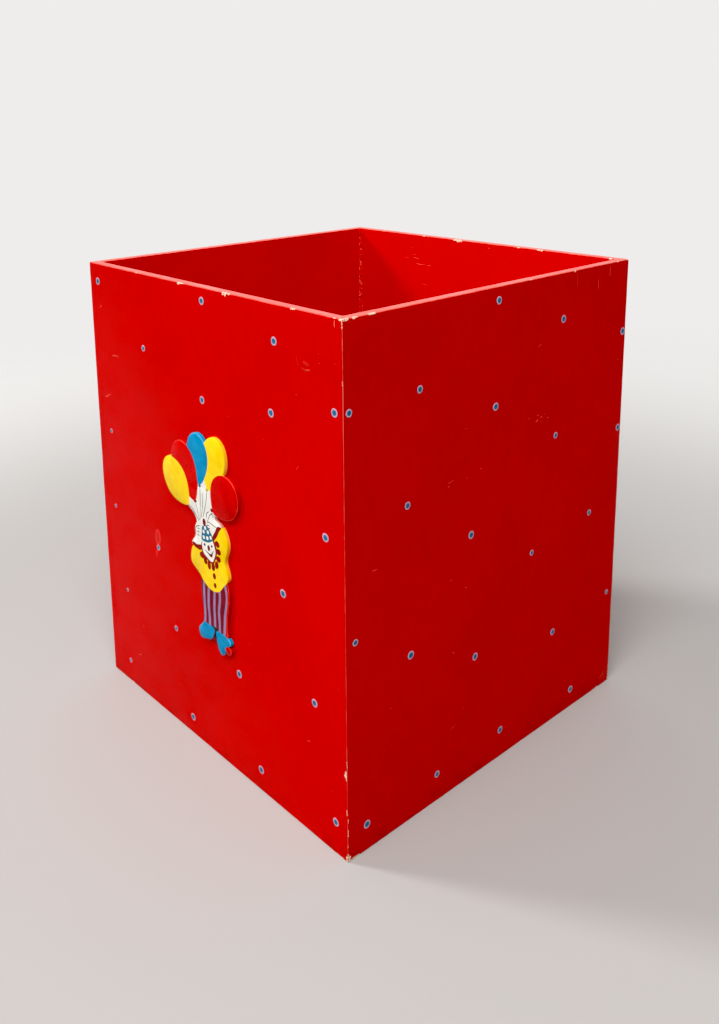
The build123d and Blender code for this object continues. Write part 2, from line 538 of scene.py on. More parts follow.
# The edges that chip: a corner, the way along from it, and the ways its two faces look
WALLS = {
    "front": ((-HALF, -HALF), (1, 0, 0), (0, -1, 0)),
    "right": ((HALF, -HALF), (0, 1, 0), (1, 0, 0)),
    "left": ((-HALF, -HALF), (0, 1, 0), (-1, 0, 0)),
    "back": ((-HALF, HALF), (1, 0, 0), (0, 1, 0)),
}
EDGES = {
    "back_inner_rim": ((-HALF, INNER, HEIGHT), (1, 0, 0), (0, -1, 0), (0, 0, 1)),
    "right_inner_rim": ((INNER, -HALF, HEIGHT), (0, 1, 0), (-1, 0, 0), (0, 0, 1)),
}
for wall, (corner, along, out) in WALLS.items():
    EDGES[wall + "_rim"] = ((*corner, HEIGHT), along, out, (0, 0, 1))
    EDGES[wall + "_foot"] = ((*corner, 0), along, out, (0, 0, -1))
for y, end in ((-1, "front"), (1, "back")):
    for x, side in ((-1, "left"), (1, "right")):
        EDGES[f"{end}_{side}"] = ((x * HALF, y * HALF, 0), (0, 0, 1), (0, y, 0), (x, 0, 0))
# Chips along each edge, in millimetres: start, end, and the reach on the first and second face
CHIPS = {
    "front_rim": [
        (60, 61.8, 0.5, 0.4), (107, 110.5, 1.5, 0.6), (110, 113.5, 0.7, 0.3), (152, 155.5, 2, 1),
        (155, 159, 1, 0.9), (211, 215, 1, 0.7), (243.2, 244.8, 0.5, 0.4), (247.6, 250, 1, 1),
    ],
    "right_rim": [
        (0.2, 4.4, 1.2, 1.4), (6.4, 10.2, 1, 1), (17.6, 22.2, 0.8, 1.2), (146.6, 148.8, 0.5, 0.9),
        (189.6, 191.2, 1.2, 0.3), (236.5, 238.5, 0.6, 0.6), (247.5, 250, 0.9, 0.8),
    ],
    "left_rim": [
        (10.5, 13, 0.6, 0.8), (17.5, 21, 0.7, 0.9), (133, 136, 1.4, 0.8), (222, 224, 0.8, 0.7),
    ],
    "back_rim": [
        (31, 35, 1.6, 0.7), (118, 120, 0.9, 0.5), (239, 242, 0.9, 1.6), (205, 206.6, 0.8, 0.5),
    ],
    "back_inner_rim": [
        (76.3, 78.2, 0.6, 0.6), (107, 111.5, 1.3, 1.3), (110.5, 115, 1.8, 1.5),
        (165.8, 168, 0.6, 0.6), (183, 187.5, 0.9, 0.7), (239, 241.5, 0.8, 1),
    ],
    "right_inner_rim": [(154.5, 156.5, 0.4, 0.6), (64, 65.5, 0.6, 0.4)],
    "front_right": [
        (295.2, 300, 0.8, 0.5), (276.6, 278.4, 0.35, 0.35), (266.4, 269.8, 0.5, 0.4),
        (222, 223, 0.3, 0.4), (187, 188.4, 0.3, 0.3), (128, 129.2, 0.35, 0.3), (49.8, 52.4, 1, 0.5),
        (51.8, 55.4, 2.3, 0.6), (56, 61.6, 0.6, 0.7), (35.2, 40.4, 0.3, 0.35), (29, 32, 0.9, 0.5),
        (24, 26.6, 0.4, 1.1), (19.8, 23.6, 0.5, 0.6), (16, 20, 0.3, 0.9), (9, 10.6, 0.4, 0.5),
        (3, 5.4, 0.8, 0.9), (0, 3.6, 1.9, 2.4),
    ],
    "front_left": [
        (210, 212.5, 0.5, 0.6), (96, 97.6, 0.4, 0.5), (31, 33, 0.5, 0.7), (0, 2.4, 0.8, 1),
    ],
    "back_right": [
        (203, 204.4, 0.6, 0.4), (86, 89, 1.2, 0.5), (8, 12, 0.7, 0.8), (4, 7.5, 1, 1),
        (0, 3, 1.2, 1.2),
    ],
    "back_left": [
        (240, 243, 1.2, 0.7), (158, 159.5, 0.5, 0.5), (47, 51, 0.8, 1.3), (0, 3.4, 1.5, 1.4),
    ],
    "front_foot": [
        (25, 27.2, 1.1, 1), (121, 122.4, 0.5, 0.8), (206, 208, 0.5, 1), (241, 246.4, 0.8, 1.2),
    ],
    "right_foot": [
        (0, 4.4, 1.4, 1.6), (3.8, 8.4, 1.2, 1.4), (64, 65.6, 0.4, 0.8), (150, 151.8, 0.5, 0.8),
        (230.4, 232.2, 0.8, 0.8), (233.6, 236.6, 1.1, 0.9), (246, 250, 0.8, 1.2),
    ],
    "left_foot": [(12, 15, 0.8, 1.2), (97, 98.6, 0.6, 0.8), (190, 194.5, 1.2, 1.2)],
    "back_foot": [(40, 42, 0.7, 1), (139, 144, 1.1, 1.4), (231, 233, 0.6, 1)],
}
FLAKE_STEP = 1.5
FLAKE_DEPTH = 0.16
FLAKE_THICK = 0.24


def flake_template():
    """The unit ball that every flake starts from, as points and faces."""
    bm = bmesh.new()
    bmesh.ops.create_icosphere(bm, subdivisions=2, radius=1.0)
    points = [v.co.copy() for v in bm.verts]
    faces = [[v.index for v in face.verts] for face in bm.faces]
    bm.free()
    return points, faces


def flake(bm, template, centre, axes, radii, seed):
    """One irregular lens that takes a flake of paint and board with it."""
    made = []
    for point in template[0]:
        jag = 1 + 0.45 * noise.noise(point * 1.9 + Vector((seed * 3.1, seed * 1.7, seed)))
        spot = centre.copy()
        for axis, radius, share in zip(axes, radii, point):
            spot += axis * (radius * share * jag)
        made.append(bm.verts.new(spot))
    for face in template[1]:
        bm.faces.new([made[i] for i in face]).material_index = 1


def painted_face(spot):
    """A point of the crisp CAD faces, moved to where the painted boards have it."""
    shrink = FACE / HALF
    return Vector((spot.x * shrink, spot.y * shrink, min(spot.z, HEIGHT - SKIN / 2)))


def flakes():
    """Every chip's flakes, as centre, axes and radii."""
    rng = random.Random(11)
    found = []
    for name, chips in CHIPS.items():
        origin, along, out_a, out_b = (Vector(v) for v in EDGES[name])
        inward = -(out_a + out_b).normalized()
        across = (out_a - out_b).normalized()
        set_back = EDGE_ROUND * (math.sqrt(2) - 1) - 0.02
        for start, end, reach_a, reach_b in chips:
            count = max(2, round((end - start) / FLAKE_STEP))
            for i in range(count):
                t = start + (end - start) * (i + 0.5) / count + rng.uniform(-0.2, 0.2)
                long = (end - start) / count * rng.uniform(0.55, 0.85)
                spot = origin + along * t
                width = EDGE_ROUND * rng.uniform(0.8, 1.15)
                radii = (long, width, FLAKE_THICK)
                found.append((spot + inward * set_back, (along, across, inward), radii))
                for out, reach, other in ((out_a, reach_a, out_b), (out_b, reach_b, out_a)):
                    size = reach * rng.uniform(0.6, 1.0)
                    centre = painted_face(spot - other * (size * 0.55))
                    radii = (long * rng.uniform(0.75, 1.0), size * 0.62, FLAKE_DEPTH)
                    found.append((centre, (along, other, out), radii))
    return found


def chip_cutter(name, found, template):
    """The flakes that reach one board, as one cutter mesh."""
    low, high = (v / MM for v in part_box(name))
    bm = bmesh.new()
    for seed, (centre, axes, radii) in enumerate(found):
        reach = max(radii) * 1.5
        if all(low[i] - reach < centre[i] < high[i] + reach for i in range(3)):
            flake(bm, template, centre, axes, radii, seed + 1)
    return mesh_from(bm, "chips_" + name)


def chipped(name, mesh, found, template, materials):
    """The board's mesh with its chips cut out of it."""
    pair = []
    for role, data in (("blank", mesh), ("cutter", chip_cutter(name, found, template))):
        for material in materials:
            data.materials.append(material)
        pair.append(link(role, data))
    blank, cutter = pair
    chip = blank.modifiers.new("chips", "BOOLEAN")
    chip.object = cutter
    chip.operation = "DIFFERENCE"
    chip.solver = "EXACT"
    chip.use_self = True
    graph = bpy.context.evaluated_depsgraph_get()
    result = bpy.data.meshes.new_from_object(blank.evaluated_get(graph), depsgraph=graph)
    for obj in pair:
        bpy.data.objects.remove(obj)
    return result


def build_boards(paint, core, rim):
    found = flakes()
    template = flake_template()
    for name in ("front_panel", "right_panel", "back_panel", "left_panel", "bottom_panel"):
        mesh = board_mesh(name)
        if name != "bottom_panel":
            mesh = chipped(name, mesh, found, template, (paint, core, rim))
        made = piece("painted_" + name, mesh, (paint, core, rim), name)
        made.modifiers.new("even_normals", "WEIGHTED_NORMAL").keep_sharp = True


# Dots

# The painted dots: from the face's left edge, up from the foot, and the small ones' share of
# the full size
DOTS = {
    "front": [
        (10.5, 288), (131.5, 292), (197, 280), (64.5, 252, 0.85), (128, 232.5), (193, 240),
        (243.5, 252), (16.5, 185.5, 0.6), (235.5, 183.5), (16, 131, 0.56), (70, 119, 0.85),
        (199.5, 138), (224.5, 83.5), (25.5, 71.5, 0.54), (87, 68.5, 0.8), (155.5, 68),
        (24, 16.5, 0.68), (102.5, 12), (174.5, 14), (240.5, 19.5),
    ],
    "right": [
        (118.5, 292), (180.5, 271.5), (246.5, 253), (4, 252.5, 0.9), (54.5, 254, 0.94),
        (117.5, 230.5), (45.5, 192, 0.88), (98, 158.5), (176.5, 199, 0.88), (246.5, 187.5),
        (7, 128, 0.85), (156, 128, 0.75), (217, 136, 0.88), (48.5, 103.5), (103.5, 79.5),
        (181, 64.5), (242.5, 70, 0.7), (14.5, 16), (71, 17.5, 0.88), (129, 18.5), (204, 13),
    ],
    "back": [
        (8, 254), (58, 286), (121, 290), (189, 283), (241, 262), (32, 219), (92, 236), (154, 228),
        (213, 214), (12, 164), (71, 178), (130, 171), (186, 158), (242, 170), (44, 118), (104, 112),
        (163, 104), (221, 121), (11, 64), (78, 60), (139, 52), (199, 63), (245, 44), (35, 14),
        (112, 12.5), (176, 17),
    ],
    "left": [
        (5, 248), (49, 291), (109, 284), (171, 288), (238, 279), (74, 243), (138, 236), (201, 241),
        (22, 197), (96, 186), (157, 189), (229, 192), (7.5, 139), (61, 134), (123, 138), (190, 129),
        (244, 122), (34, 84), (98, 79), (152, 84), (214, 72), (9, 25), (66, 17), (131, 20),
        (187, 13), (241, 21),
    ],
}
DOT_RADIUS = 2.35
DOT_HEIGHT = 0.09
DOT_SINK = 0.2
DOT_PROFILE = ((1, -1), (1, 0.05), (0.95, 0.7), (0.84, 1), (0.62, 0.8), (0.56, 0.62), (0.3, 0.75))
DOT_CORE = (4, 1)  # the ring of the profile where the second material starts, and its slot
DOT_POINTS = 28


def dot_loop(rng, x, y, share=1.0):
    """A hand-dabbed round outline."""
    radius = DOT_RADIUS * share * rng.uniform(0.96, 1.04)
    waves = [(k, rng.uniform(0, 2 * math.pi), rng.uniform(0.0, 0.05) / k) for k in (2, 3, 5)]
    loop = []
    for i in range(DOT_POINTS):
        a = 2 * math.pi * i / DOT_POINTS
        r = radius * (1 + sum(size * math.cos(k * a + phase) for k, phase, size in waves))
        loop.append((x + r * math.cos(a), y + r * 1.03 * math.sin(a)))
    return loop


def build_dots(ring, core):
    rng = random.Random(5)
    for side, spots in DOTS.items():
        bm = bmesh.new()
        for spot in spots:
            outline = dot_loop(rng, *spot)
            dab(bm, partial(on_face, side), outline, DOT_HEIGHT, DOT_SINK, 0, DOT_PROFILE, DOT_CORE)
        mesh = mesh_from(bm, "dots_" + side)
        piece("dots_" + side, mesh, (ring, core), sharp_deg=75)


# The cut-out

BALLOONS = {
    "left_yellow": ((112.3, 163.1), (86.9, 186.2), 12.5, 0.48),
    "left_red": ((119.7, 167.9), (100.9, 201.2), 12.9, 0.4),
    "blue": ((124.9, 179.6), (122.4, 211.5), 11.1, 0.42),
    "right_yellow": ((133.6, 178.9), (143.7, 212.6), 11.6, 0.41),
    "right_red": ((138.9, 165.4), (158.4, 189.6), 13.3, 0.46),
}
STRINGS = [
    (111.1, 168.6), (112.1, 162.6), (116.6, 159.9), (119.5, 157), (121.6, 150.6), (129.1, 145.6),
    (138.1, 148.6), (143.4, 155.2), (145.8, 158.3), (144.6, 159.8), (141.4, 160.9), (139.2, 162.4),
    (139.9, 164.6), (138.9, 167.4), (137.6, 177.6), (133.1, 183.6), (125.1, 183.6), (120.6, 172.6),
]
LEFT_HAND = [
    (121.6, 155.6), (118.8, 152.4), (117.7, 148.6), (118.1, 145.5), (115.1, 141.4), (114.1, 139),
    (117.6, 137.6), (125.6, 139.1), (129.1, 145.6), (127.1, 153.6),
]
TUNIC = [
    (118.1, 139.6), (114.3, 136.6), (112.3, 131.1), (112.7, 126.2), (117.1, 123.2), (121.1, 120.9),
    (125.6, 117.6), (134.1, 114.8), (141.1, 116.6), (146.7, 122.4), (150.9, 127.8), (150.3, 132.1),
    (148.3, 137.6), (150.4, 144.3), (151.4, 149.6), (149.5, 155.2), (145.6, 158.9), (142.6, 157.6),
    (137.6, 152.1), (129.1, 146.6),
]
TROUSERS = [
    (123.1, 119.6), (122.1, 111.6), (122.7, 103.6), (123.7, 95.6), (123.1, 86.6), (147.7, 86.6),
    (148.1, 96.6), (149.4, 104.6), (150.8, 111.6), (151.1, 120.6), (149.1, 126.6),
]
LEFT_SHOE = [
    (123.6, 90), (120.3, 86.6), (117.7, 83.6), (119.7, 78.2), (124.6, 78.9), (129.6, 80.4),
    (133.1, 84.2), (134.7, 89.2), (128.6, 90.4),
]
RIGHT_SHOE = [
    (137.1, 89.2), (136.8, 83.7), (138.5, 77.5), (141.7, 75.1), (144.7, 77.7), (146.7, 81.8),
    (151.1, 85.8), (146.6, 89.6), (141.6, 89.8),
]
SHOE_BALL = ((148.4, 80.6), (2.9, 2.9))
HEEL_WEB = [(132.1, 84.1), (138.1, 84.1), (138.1, 91.1), (132.1, 91.1)]
LEFT_CUFF = [
    (114.5, 139.6), (115.9, 137.9), (119.5, 137.1), (124, 137.9), (124.6, 140.6), (119.6, 139.8),
    (116.3, 140.2),
]
RIGHT_CUFF = [
    (136.5, 149.4), (138, 152.6), (140.4, 156.4), (142.8, 158.9), (145.8, 158.7), (144.2, 156.8),
    (142.8, 154.7), (140.8, 151.5), (139.1, 149.5), (137, 148.1),
]
COLLAR = [
    (124.3, 142.1), (124.1, 138.6), (124.9, 136.3), (127.8, 134.3), (131, 133), (134.4, 132.2),
    (137, 133.2), (138.6, 135.6), (140.1, 138.9), (140.7, 141.9), (140.2, 144.6), (138.8, 147.2),
    (137.4, 149.2), (133, 148.6), (127, 145.6),
]
FACE_OUTLINE = [
    (125.6, 144.2), (125.4, 139.2), (126.2, 137), (128.8, 135.4), (131.6, 134.3), (134.6, 133.6),
    (136, 134.2), (137.3, 136.3), (138.7, 139.3), (139.1, 141.7), (138.4, 144), (136.6, 147.4),
    (131, 146.6),
]
HAT = [
    (126.2, 153.5), (125.3, 148.9), (125.1, 144.9), (128, 144.5), (131.6, 145), (134.8, 146.6),
    (136.7, 148.5), (136, 151), (134, 153.3), (132, 155.1), (128.6, 155.1),
]
HAT_SPOTS = [
    (129.1, 153.5), (127.4, 150.6), (131.9, 151.7), (127.3, 147), (131.1, 147.6), (134.6, 149.1),
]
HAT_SPOT_HALF = 1.15
STRIPES = [
    [(125.7, 118.6), (125.1, 111.6), (125.3, 103.6), (125.4, 95.6), (124.7, 88.6)],
    [(130.7, 117.6), (130, 111.6), (129.5, 103.6), (130.1, 95.6), (129.9, 88.6)],
    [(136.5, 116.6), (136.1, 111.6), (135.5, 103.6), (135.6, 95.6), (135.3, 88.6)],
    [(141.7, 118.1), (141.7, 111.6), (140.3, 103.6), (140.5, 95.6), (140.3, 88.6)],
    [(147.5, 123.6), (149.1, 115.6), (147.9, 108.6), (146.5, 102.6), (145.7, 95.6), (144.9, 88.6)],
]
STRIPE_HALF = 1.15
SIDE_BAND = [
    (150.3, 125.6), (150.6, 118.6), (150.3, 111.6), (149, 104.6), (147.9, 96.6), (147.3, 87.6),
]
PETALS = [
    ((124.8, 134.6), (2.7, 2.1), 10), ((128.1, 132.2), (1.9, 2.4), 14),
    ((131.9, 130.5), (1.8, 2.8), 4), ((136.1, 130.9), (1.8, 2.7), -2),
    ((139.8, 133.4), (1.9, 2.6), -18), ((141.8, 137.8), (2.5, 2), 10),
    ((142.2, 142.6), (2.5, 2), 4), ((141.2, 147.2), (2.4, 2), -8),
]
KNOTS = [
    ((125.2, 179.2), (1.3, 0.9), 10, "teal"), ((132.7, 178.8), (1.2, 0.9), 0, "olive"),
    ((119.7, 167.8), (1.7, 0.9), 12, "maroon"), ((136.8, 167.2), (1.3, 1.2), -35, "maroon"),
    ((111.3, 163.5), (1.3, 0.8), 38, "yellow"),
]
STRING_LINES = [
    [(112.5, 163.5), (116.5, 161.6), (120.1, 158.9), (122.7, 156)],
    [(120.1, 166.9), (121.5, 163.1), (123.2, 156.8)],
    [(125.4, 178.4), (125.2, 169.6), (124, 156.8)],
    [(128.3, 175.6), (127.5, 167.6), (125.3, 158.6)],
    [(132.6, 178), (130.9, 169.6), (127.3, 159.8)], [(137.9, 166), (134.5, 163.2), (131.9, 158.4)],
]
GLOVE_LINES = [
    [(118.7, 146), (118.5, 149.2), (120.1, 151.8), (123.5, 153.2)], [(120.9, 150.9), (123.3, 151)],
    [(120.3, 148.8), (123.1, 148.8)], [(120.5, 146.6), (122.7, 146.5)],
    [(131.6, 157.6), (133.3, 158.6), (136.5, 158.2), (141.3, 157.6)],
    [(131.2, 160.4), (131.4, 163.4), (133.6, 165.4)],
    [(134.4, 163), (136, 164.6), (138.1, 164.2), (137.5, 162.9)],
    [(130.3, 155.3), (131.9, 156.2), (133.7, 156.4)], [(132.7, 154.7), (134.5, 154.7)],
]
EYES = [((127.9, 142.4), (0.95, 0.95), 0), ((135.4, 143.9), (0.85, 0.8), 0)]
NOSE = ((132.1, 141.6), (1.35, 1.9), 0)
SMILE = [(128.3, 139.3), (130.1, 138.5), (131.9, 138), (134, 138), (135.6, 139.3), (136.9, 141.4)]
MOUTH = [
    (131.9, 137.9), (133.8, 138.2), (135.9, 139.4), (135.8, 137.8), (134.7, 136.6), (133, 136.8),
]
BUTTONS = [((136.9, 125.2), (1.6, 2.1), 0), ((137.3, 119.3), (1.4, 1.7), 0)]
POMPOM = ((128.4, 157.0), (1.7, 2.35), 0)
PLAQUE_ROUND = 0.4
PLAQUE_BASE = -0.3


def bezier(a, b, c, d, count=16):
    found = []
    for i in range(count):
        t = i / count
        start = a * (1 - t) ** 3 + b * (3 * t * (1 - t) ** 2)
        found.append(start + c * (3 * t**2 * (1 - t)) + d * t**3)
    return found


def balloon_loop(knot, crown, half_width, widest):
    """An egg-shaped balloon, pointed at its knot."""
    knot, crown = Vector(knot), Vector(crown)
    length = (knot - crown).length
    down = (knot - crown).normalized()
    across = Vector((-down.y, down.x))
    middle = crown + down * (widest * length)
    halves = []
    for side in (1, -1):
        flank = middle + across * (side * half_width)
        top_handle = crown + across * (side * 0.55 * half_width)
        knot_handle = knot + across * (side * 0.22 * half_width)
        above = flank - down * (0.55 * widest * length)
        below = flank + down * (0.50 * (1 - widest) * length)
        upper = bezier(crown, top_handle, above, flank)
        halves.append(upper + bezier(flank, below, knot_handle, knot))
    loop = halves[0] + [knot] + list(reversed(halves[1]))[:-1]
    return [(p.x, p.y) for p in loop]


def band_loop(points, half_width):
    """The outline of a band of even width along a curve."""
    path = curve_through(points, 1.0)
    left, right = [], []
    for i, p in enumerate(path):
        side = side_step(path, i) * half_width
        left.append(p + side)
        right.append(p - side)
    return [(p.x, p.y) for p in left + list(reversed(right))]


def square_loop(centre, half, tilt_deg):
    """A small square with soft corners."""
    tilt = math.radians(tilt_deg)
    loop = []
    for i in range(16):
        a = 2 * math.pi * i / 16
        x, y = (math.copysign(abs(v) ** 0.6, v) * half for v in (math.cos(a), math.sin(a)))
        loop.append(turned(centre, x, y, tilt))
    return loop


def plaque_regions():
    """(colour, outline) of each painted area, the last one on top, then the trousers' stripes."""
    trousers = smooth_loop(TROUSERS)
    balloon = {name: balloon_loop(*measures) for name, measures in BALLOONS.items()}
    regions = [
        ("white", smooth_loop(STRINGS)),
        ("yellow", balloon["right_yellow"]), ("blue", balloon["blue"]),
        ("red", balloon["left_red"]), ("yellow", balloon["left_yellow"]),
        ("red", balloon["right_red"]),
        ("wine", trousers), ("black", HEEL_WEB), ("blue", smooth_loop(LEFT_SHOE)),
        ("blue", smooth_loop(RIGHT_SHOE)), ("red", ellipse(*SHOE_BALL)),
        ("yellow", smooth_loop(TUNIC)), ("white", smooth_loop(LEFT_HAND)),
        ("maroon", smooth_loop(LEFT_CUFF)), ("maroon", smooth_loop(RIGHT_CUFF)),
        ("maroon", smooth_loop(COLLAR)), ("white", smooth_loop(FACE_OUTLINE)),
        ("teal", smooth_loop(HAT)),
    ]
    stripes = [("lavender", band_loop(line, STRIPE_HALF)) for line in STRIPES]
    stripes.append(("red", band_loop(SIDE_BAND, 1.0)))
    return regions, stripes, trousers


def inside(loop, points):
    """Which of an array of points lie in a closed outline."""
    a = np.array(loop)
    b = np.roll(a, -1, 0)
    x, y = points[:, 0:1], points[:, 1:2]
    crosses = (a[:, 1] > y) != (b[:, 1] > y)
    rise = np.where(b[:, 1] == a[:, 1], 1.0, b[:, 1] - a[:, 1])
    at = a[:, 0] + (y - a[:, 1]) * (b[:, 0] - a[:, 0]) / rise
    return (crosses & (x < at)).sum(1) % 2 == 1


def distance_to(segments, points):
    """The distance from each point to the nearest of the given segments."""
    a, b = segments[:, 0], segments[:, 1]
    along = b - a
    best = np.full(len(points), 1e9)
    for start in range(0, len(points), 2000):
        p = points[start : start + 2000, None]
        t = ((p - a) * along).sum(-1) / (along**2).sum(-1)
        foot = a + along * t.clip(0, 1)[..., None]
        best[start : start + 2000] = np.linalg.norm(p - foot, axis=-1).min(1)
    return best


def triangulate(loops, extra):
    """All triangles between the outlines and free points, as points and index triples."""
    points, edges = [], []
    for loop in loops:
        first = len(points)
        points += [Vector(p) for p in loop]
        edges += [(first + i, first + (i + 1) % len(loop)) for i in range(len(loop))]
    points += [Vector(p) for p in extra]
    verts, _, faces, *_ = delaunay_2d_cdt(points, edges, [], 0, 1e-4, False)
    return np.array([(v.x, v.y) for v in verts]), np.array([list(f) for f in faces])


def plaque_mesh(colours):
    """The cut-out board: painted areas split along their outlines, its front edge rounded."""
    regions, stripes, trousers = plaque_regions()
    loops = [loop for _, loop in regions + stripes]

    def painted(centres):
        """The index of the colour on top at each point, or -1 off the board."""
        top = np.full(len(centres), -1)
        for name, loop in regions:
            top[inside(loop, centres)] = colours.index(name)
            if loop is trousers:
                for stripe, band in stripes:
                    top[inside(band, centres) & inside(trousers, centres)] = colours.index(stripe)
        return top

    def border(tris, keep):
        """The edges of the kept triangles that only one of them has."""
        seen = {}
        for index in np.flatnonzero(keep):
            t = tris[index]
            for i in range(3):
                pair = (int(t[i]), int(t[(i + 1) % 3]))
                key = tuple(sorted(pair))
                seen[key] = None if key in seen else (pair, index)
        return [v for v in seen.values() if v]

    points, tris = triangulate(loops, [])
    keep = painted(points[tris].mean(1)) >= 0
    outline = np.array([points[list(pair)] for pair, _ in border(tris, keep)])
    along = outline[:, 1] - outline[:, 0]
    length = np.linalg.norm(along, axis=1)
    inward = np.stack([-along[:, 1], along[:, 0]], 1) / length[:, None]
    extra = []
    for depth in (0.12, PLAQUE_ROUND):
        offset = outline.mean(1) + inward * depth
        clear = distance_to(outline, offset) > depth * 0.9
        extra += [tuple(p) for p in offset[clear & (length > 0.1)]]
    points, tris = triangulate(loops, extra)
    top = painted(points[tris].mean(1))
    keep = top >= 0
    rim = border(tris, keep)
    edge = np.array([points[list(pair)] for pair, _ in rim])
    away = distance_to(edge, points)
    short = np.clip(PLAQUE_ROUND - away, 0, PLAQUE_ROUND)
    height = PLAQUE_FRONT - PLAQUE_ROUND + np.sqrt(PLAQUE_ROUND**2 - short**2)
    bm = bmesh.new()
    used = sorted({int(i) for t in tris[keep] for i in t})
    front = {i: bm.verts.new(on_face("front", *points[i], height[i])) for i in used}
    back = {i: bm.verts.new(on_face("front", *points[i], PLAQUE_BASE)) for i in used}
    # Red and blue are paler along the rounded front edge: rubbed paint and a painted highlight.
    rounded = distance_to(edge, points[tris].mean(1)) < PLAQUE_ROUND
    for t, colour, wear_and_highlight in zip(tris[keep], top[keep], rounded[keep]):
        name = colours[colour]
        shown = colours.index(RUBBED_AND_HIGHLIGHT_COLOURS.get(name, name) if wear_and_highlight else name)
        bm.faces.new([front[int(i)] for i in t]).material_index = shown
        bm.faces.new([back[int(i)] for i in reversed(t)]).material_index = int(colour)
    # The side walls take the shaded edge colours: painted shade.
    for (i, j), index in rim:
        name = colours[top[index]]
        side = colours.index(SHADED_EDGE_COLOURS.get(name, name))
        bm.faces.new((front[i], front[j], back[j], back[i])).material_index = side
    return mesh_from(bm, "clown_cutout")


# The cut-out's paints: each one's main colour and the one it drifts to
SHADES = {
    "yellow": ((0.93, 0.62, 0.010), (0.97, 0.70, 0.020)),
    "blue": ((0.002, 0.23, 0.48), (0.005, 0.29, 0.55)),
    "red": ((0.58, 0.001, 0.001), (0.66, 0.0014, 0.001)),
    "white": ((0.78, 0.77, 0.72), (0.86, 0.85, 0.80)),
    "wine": ((0.16, 0.004, 0.014), (0.21, 0.005, 0.018)),
    "lavender": ((0.29, 0.185, 0.34), (0.34, 0.22, 0.40)),
    "black": ((0.010, 0.008, 0.012), (0.022, 0.018, 0.022)),
    "maroon": ((0.22, 0.004, 0.004), (0.30, 0.006, 0.005)),
    "teal": ((0.010, 0.13, 0.23), (0.020, 0.17, 0.28)),
    "olive": ((0.42, 0.30, 0.03), (0.50, 0.36, 0.05)),
    "grey": ((0.10, 0.085, 0.085), (0.19, 0.165, 0.16)),
    # The next three are painted shade for the cut-out's side walls.
    "shaded_blush": ((0.76, 0.36, 0.30), (0.88, 0.55, 0.48)),
    "shaded_side_red": ((0.45, 0.004, 0.003), (0.53, 0.008, 0.006)),
    "shaded_side_yellow": ((0.90, 0.49, 0.012), (0.97, 0.52, 0.09)),
    # The next two are paler edge paints: rubbed paint and a painted highlight.
    "rubbed_red": ((0.68, 0.03, 0.022), (0.80, 0.09, 0.065)),
    "rubbed_highlight_blue": ((0.06, 0.33, 0.56), (0.16, 0.44, 0.66)),
}
PLAQUE_COLOURS = list(SHADES)
# The colour of the board's side walls, where it isn't the colour of the front beside it: painted
# shade, a darker red and a more orange yellow, and for white a pinkish shade with painted red light
# bounced from the board
SHADED_EDGE_COLOURS = {
    "white": "shaded_blush", "yellow": "shaded_side_yellow", "lavender": "shaded_side_red", "wine": "shaded_side_red",
    "red": "shaded_side_red",
}
# What shows through along the rounded front edge: paint rubbed thin, and a painted highlight
RUBBED_AND_HIGHLIGHT_COLOURS = {"red": "rubbed_red", "blue": "rubbed_highlight_blue"}


def on_plaque(x, y, h):
    return on_face("front", x, y, PLAQUE_FRONT + h)


def build_plaque():
    paints = [gloss_paint("cutout_" + name, *pair) for name, pair in SHADES.items()]
    number = PLAQUE_COLOURS.index
    piece("clown_cutout", plaque_mesh(PLAQUE_COLOURS), paints, "clown_plaque", 60)
    height, sink = 0.06, 0.12
    bm = bmesh.new()
    for line in STRING_LINES:
        stroke(bm, on_plaque, curve_through(line), 0.27, height, sink, number("grey"), 0.7)
    for centre, size, tilt, colour in KNOTS:
        dab(bm, on_plaque, ellipse(centre, size, tilt, 16), height * 1.4, sink, number(colour))
    strings = mesh_from(bm, "balloon_strings")
    piece("balloon_strings", strings, paints, sharp_deg=70)
    bm = bmesh.new()
    for line in GLOVE_LINES:
        stroke(bm, on_plaque, curve_through(line), 0.27, height, sink, number("black"), 0.5)
    for spot in HAT_SPOTS:
        dab(bm, on_plaque, square_loop(spot, HAT_SPOT_HALF, 14), height, sink, number("white"))
    for centre, size, tilt in PETALS:
        dab(bm, on_plaque, ellipse(centre, size, tilt, 18), height, sink, number("maroon"))
    for colour, spots in (("black", EYES), ("maroon", BUTTONS)):
        for spot in spots:
            dab(bm, on_plaque, ellipse(*spot, 16), height, sink, number(colour))
    dab(bm, on_plaque, ellipse(*NOSE), height * 1.3, sink, number("wine"))
    dab(bm, on_plaque, smooth_loop(MOUTH, 0.4), height, sink, number("maroon"))
    stroke(bm, on_plaque, curve_through(SMILE, 0.4), 0.4, height * 1.2, sink, number("black"), 0.3)
    dab(bm, on_plaque, ellipse(*POMPOM), height * 1.4, sink, number("wine"))
    piece("clown_features", mesh_from(bm, "clown_features"), paints, sharp_deg=70)


# Corner beads and scuffs

BEAD_STEP = 0.9
BEAD_REACH = {
    "back_left": (3.4, 1.6),
    "back_right": (1.5, 1.8),
    "front_left": (1.6, 1.5),
    "front_right": (1.7, 1.5),
}


